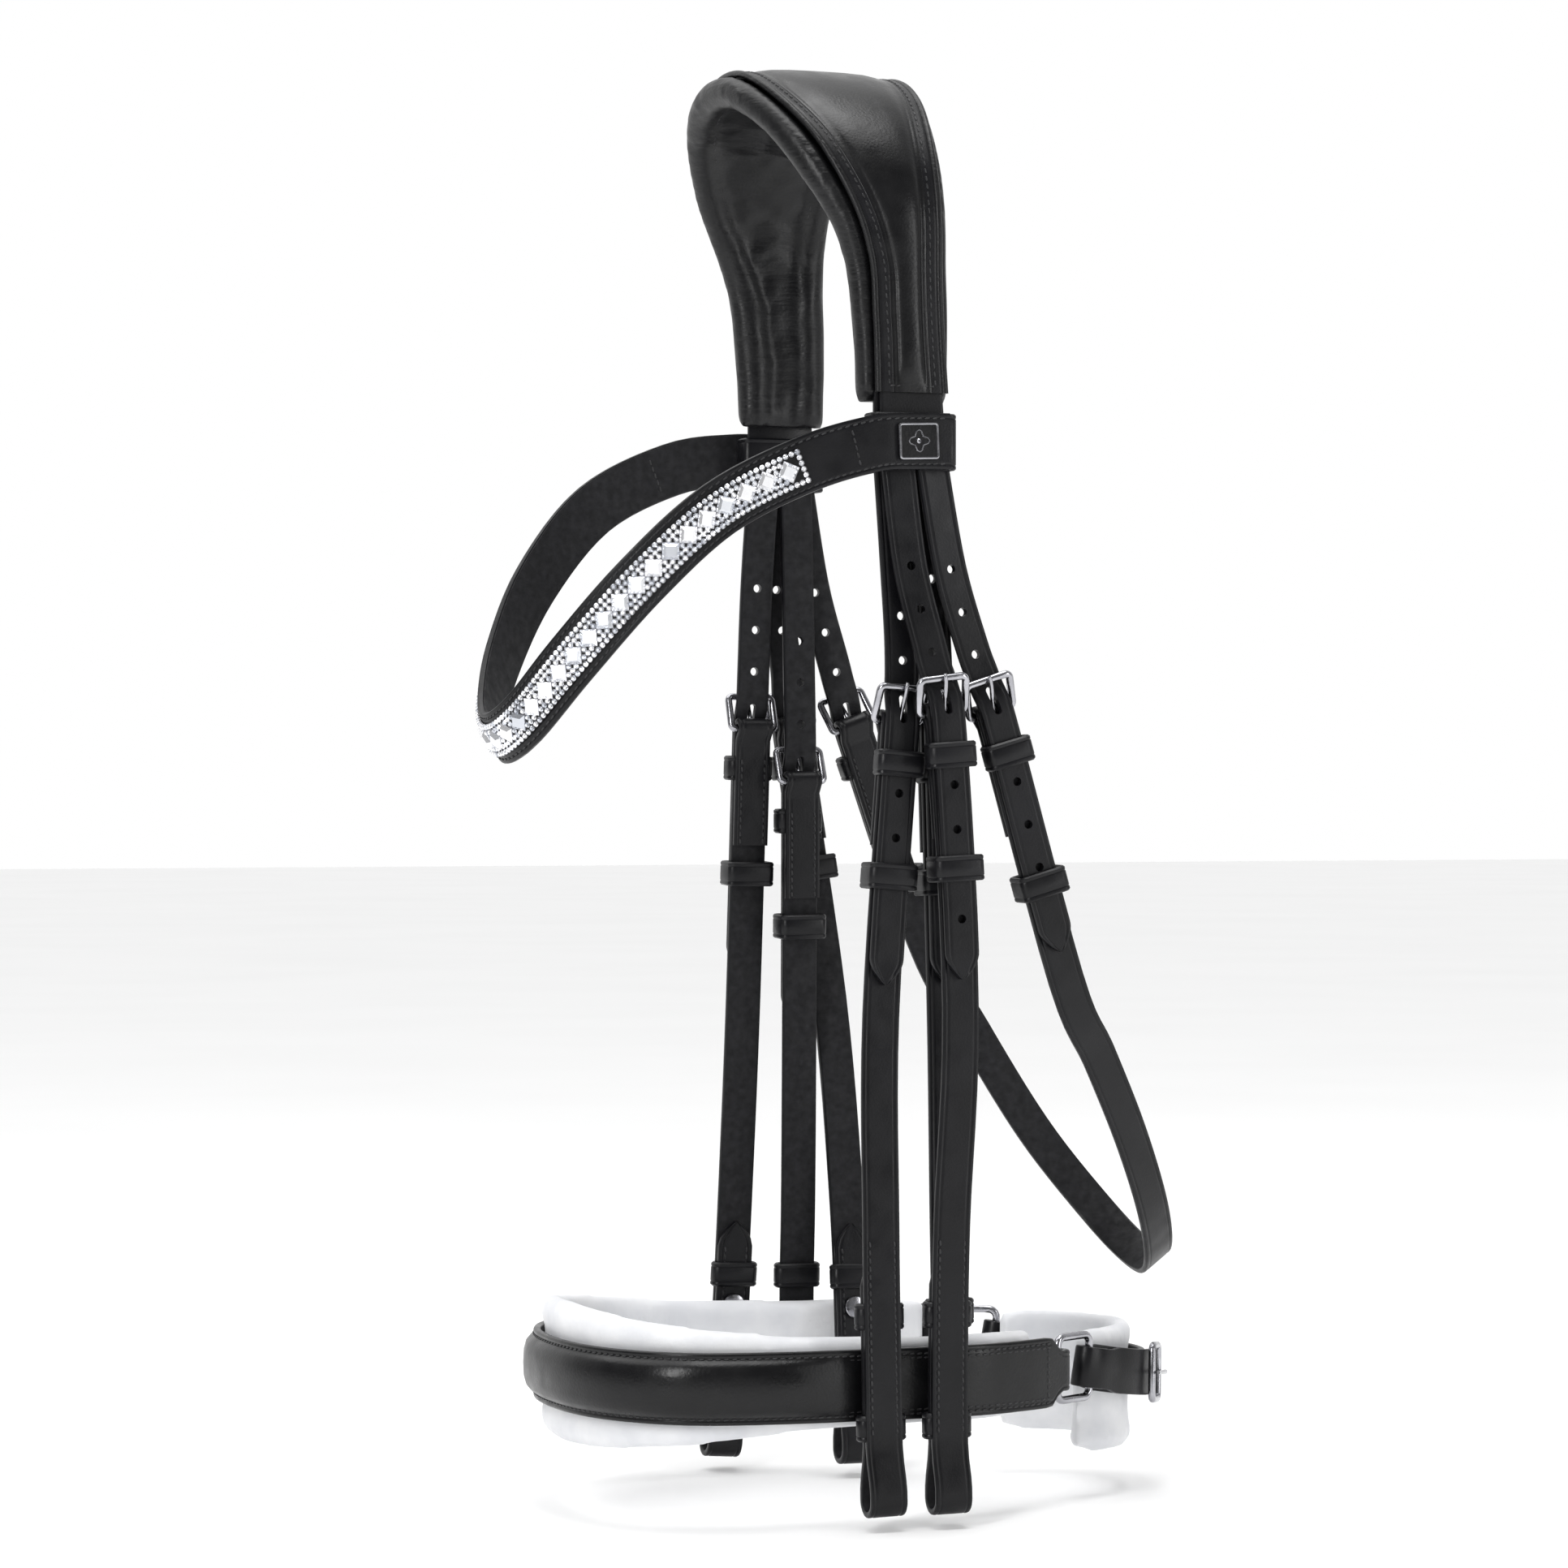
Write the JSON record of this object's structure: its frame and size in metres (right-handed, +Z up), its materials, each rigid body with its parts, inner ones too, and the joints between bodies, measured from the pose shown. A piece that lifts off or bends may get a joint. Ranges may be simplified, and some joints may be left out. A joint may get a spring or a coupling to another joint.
{
  "type": "snaffle bridle",
  "caption": "Padded leather bridle with two bit cheekpieces a side, crank noseband, throatlatch and crystal-set browband.",
  "frame": {"origin": "middle of the crown's underside, where it rests on the poll", "axes": "+Z up, +X towards the rear of the horse, -Y the near (left) side"},
  "size_m": [0.2557, 0.1637, 0.4905],
  "materials": {
    "black_leather": "soft sheen",
    "black_padding": "soft dressed leather",
    "white_padding": "soft matt nappa",
    "polished_steel": "polished",
    "emblem_plate": "brushed, no mark",
    "crystal_rail": "cut clear crystal on a silver rail"
  },
  "bodies": {
    "crown": {"crown_padding": "black_padding", "sliphead": "black_leather", "crown_headpiece": "black_leather", "near_browband_loop": "black_leather", "far_browband_loop": "black_leather", "near_noseband_hanger_billet": "black_leather", "near_noseband_hanger_strap": "black_leather", "near_noseband_hanger_buckle": "polished_steel", "far_noseband_hanger_billet": "black_leather", "far_noseband_hanger_strap": "black_leather", "far_noseband_hanger_buckle": "polished_steel", "far_rear_cheek_billet": "black_leather", "far_rear_cheek_strap": "black_leather", "far_rear_cheek_buckle": "polished_steel", "far_rear_cheek_hook_stud": "polished_steel"},
    "browband": {"browband": "black_leather", "browband_inlay": "crystal_rail", "near_emblem_plate": "emblem_plate", "far_emblem_plate": "emblem_plate"},
    "throatlatch": {"throatlatch_strap": "black_leather", "near_throat_billet": "black_leather", "near_throat_buckle": "polished_steel", "far_throat_billet": "black_leather", "far_throat_buckle": "polished_steel"},
    "noseband": {"noseband_strap": "black_leather", "noseband_padding": "white_padding", "near_crank_ring": "polished_steel", "far_crank_ring": "polished_steel", "crank_strap": "black_leather", "crank_buckle": "polished_steel", "chin_pad": "white_padding"},
    "near_front_cheek": {"near_front_cheek_billet": "black_leather", "near_front_cheek_strap": "black_leather", "near_front_cheek_buckle": "polished_steel", "near_front_cheek_hook_stud": "polished_steel"},
    "near_rear_cheek": {"near_rear_cheek_billet": "black_leather", "near_rear_cheek_strap": "black_leather", "near_rear_cheek_buckle": "polished_steel", "near_rear_cheek_hook_stud": "polished_steel"},
    "far_front_cheek": {"far_front_cheek_billet": "black_leather", "far_front_cheek_strap": "black_leather", "far_front_cheek_buckle": "polished_steel", "far_front_cheek_hook_stud": "polished_steel"},
    "near_front_cheek_prong": {"near_front_cheek_prong": "polished_steel"},
    "near_front_cheek_runner": {"near_front_cheek_runner": "black_leather"},
    "near_rear_cheek_prong": {"near_rear_cheek_prong": "polished_steel"},
    "near_rear_cheek_runner": {"near_rear_cheek_runner": "black_leather"},
    "far_front_cheek_prong": {"far_front_cheek_prong": "polished_steel"},
    "far_front_cheek_runner": {"far_front_cheek_runner": "black_leather"},
    "far_rear_cheek_prong": {"far_rear_cheek_prong": "polished_steel"},
    "far_rear_cheek_runner": {"far_rear_cheek_runner": "black_leather"},
    "near_noseband_hanger_prong": {"near_noseband_hanger_prong": "polished_steel"},
    "near_noseband_hanger_runner": {"near_noseband_hanger_runner": "black_leather"},
    "far_noseband_hanger_prong": {"far_noseband_hanger_prong": "polished_steel"},
    "far_noseband_hanger_runner": {"far_noseband_hanger_runner": "black_leather"},
    "near_throat_prong": {"near_throat_prong": "polished_steel"},
    "near_throat_runner": {"near_throat_runner": "black_leather"},
    "far_throat_prong": {"far_throat_prong": "polished_steel"},
    "far_throat_runner": {"far_throat_runner": "black_leather"},
    "crank_prong": {"crank_prong": "polished_steel"}
  },
  "joints": [
    {"name": "browband_lift", "type": "hinge", "parent": "crown", "child": "browband", "pos_m": [0.02, 0, -0.1175], "axis": [0, 1, 0], "range_deg": [0, 15]},
    {"name": "near_front_cheek_swing", "type": "hinge", "parent": "crown", "child": "near_front_cheek", "pos_m": [0.0154, -0.0612, -0.127], "axis": [0, 1, 0], "range_deg": [0, 15]},
    {"name": "near_rear_cheek_swing", "type": "hinge", "parent": "crown", "child": "near_rear_cheek", "pos_m": [0.0167, -0.06425, -0.127], "axis": [-1, 0, 0], "range_deg": [0, 20]},
    {"name": "far_front_cheek_swing", "type": "hinge", "parent": "crown", "child": "far_front_cheek", "pos_m": [0.015, 0.0612, -0.127], "axis": [0, 1, 0], "range_deg": [0, 15]},
    {"name": "throatlatch_swing", "type": "hinge", "parent": "crown", "child": "throatlatch", "pos_m": [0.0291, 0, -0.127], "axis": [0, -1, 0], "range_deg": [0, 8]},
    {"name": "noseband_tilt", "type": "hinge", "parent": "crown", "child": "noseband", "pos_m": [0.032, 0, -0.431], "axis": [0, 1, 0], "range_deg": [0, 8]},
    {"name": "near_front_cheek_prong_open", "type": "hinge", "parent": "near_front_cheek", "child": "near_front_cheek_prong", "pos_m": [0.01786, -0.06098, -0.21174], "axis": [0.9969, 0, -0.0787], "range_deg": [0, 10]},
    {"name": "near_front_cheek_runner_slide", "type": "slide", "parent": "near_front_cheek", "child": "near_front_cheek_runner", "axis": [0.0874, 0.0333, 0.9956], "range_m": [-0.012, 0.012]},
    {"name": "near_rear_cheek_prong_open", "type": "hinge", "parent": "near_rear_cheek", "child": "near_rear_cheek_prong", "pos_m": [0.0304, -0.0708, -0.20876], "axis": [0.992, 0, 0.126], "range_deg": [0, 10]},
    {"name": "near_rear_cheek_runner_slide", "type": "slide", "parent": "near_rear_cheek", "child": "near_rear_cheek_runner", "axis": [-0.049, 0.0189, 0.9986], "range_m": [-0.012, 0.012]},
    {"name": "far_front_cheek_prong_open", "type": "hinge", "parent": "far_front_cheek", "child": "far_front_cheek_prong", "pos_m": [0.01123, 0.061, -0.21277], "axis": [-0.9998, 0, 0.0183], "range_deg": [0, 10]},
    {"name": "far_front_cheek_runner_slide", "type": "slide", "parent": "far_front_cheek", "child": "far_front_cheek_runner", "axis": [0.0145, -0.043, 0.999], "range_m": [-0.012, 0.008]},
    {"name": "far_rear_cheek_prong_open", "type": "hinge", "parent": "crown", "child": "far_rear_cheek_prong", "pos_m": [0.02995, 0.07067, -0.21166], "axis": [-0.9931, 0, -0.1169], "range_deg": [0, 10]},
    {"name": "far_rear_cheek_runner_slide", "type": "slide", "parent": "crown", "child": "far_rear_cheek_runner", "axis": [-0.1377, 0.0547, 0.989], "range_m": [-0.008, 0.012]},
    {"name": "near_noseband_hanger_prong_open", "type": "hinge", "parent": "crown", "child": "near_noseband_hanger_prong", "pos_m": [0.03438, -0.05445, -0.21373], "axis": [0.9998, 0, 0.0211], "range_deg": [0, 10]},
    {"name": "near_noseband_hanger_runner_slide", "type": "slide", "parent": "crown", "child": "near_noseband_hanger_runner", "axis": [-0.0122, 0.0376, 0.9992], "range_m": [-0.012, 0.012]},
    {"name": "far_noseband_hanger_prong_open", "type": "hinge", "parent": "crown", "child": "far_noseband_hanger_prong", "pos_m": [0.02736, 0.05382, -0.23171], "axis": [-1, 0, -0.0085], "range_deg": [0, 10]},
    {"name": "far_noseband_hanger_runner_slide", "type": "slide", "parent": "crown", "child": "far_noseband_hanger_runner", "axis": [-0.0141, -0.046, 0.9988], "range_m": [-0.012, 0.012]},
    {"name": "near_throat_prong_open", "type": "hinge", "parent": "throatlatch", "child": "near_throat_prong", "pos_m": [0.05095, -0.06453, -0.20847], "axis": [0.9534, 0.0039, 0.3018], "range_deg": [0, 10]},
    {"name": "near_throat_runner_slide", "type": "slide", "parent": "throatlatch", "child": "near_throat_runner", "axis": [-0.2795, -0.0062, 0.9601], "range_m": [-0.012, 0.012]},
    {"name": "far_throat_prong_open", "type": "hinge", "parent": "throatlatch", "child": "far_throat_prong", "pos_m": [0.05148, 0.06453, -0.2114], "axis": [-0.9449, 0.0005, -0.3274], "range_deg": [0, 10]},
    {"name": "far_throat_runner_slide", "type": "slide", "parent": "throatlatch", "child": "far_throat_runner", "axis": [-0.3384, 0.0285, 0.9406], "range_m": [-0.012, 0.012]},
    {"name": "crank_prong_open", "type": "hinge", "parent": "noseband", "child": "crank_prong", "pos_m": [0.13298, -0.02163, -0.44014], "axis": [0.0527, 0.0809, 0.9953], "range_deg": [0, 10]}
  ]
}
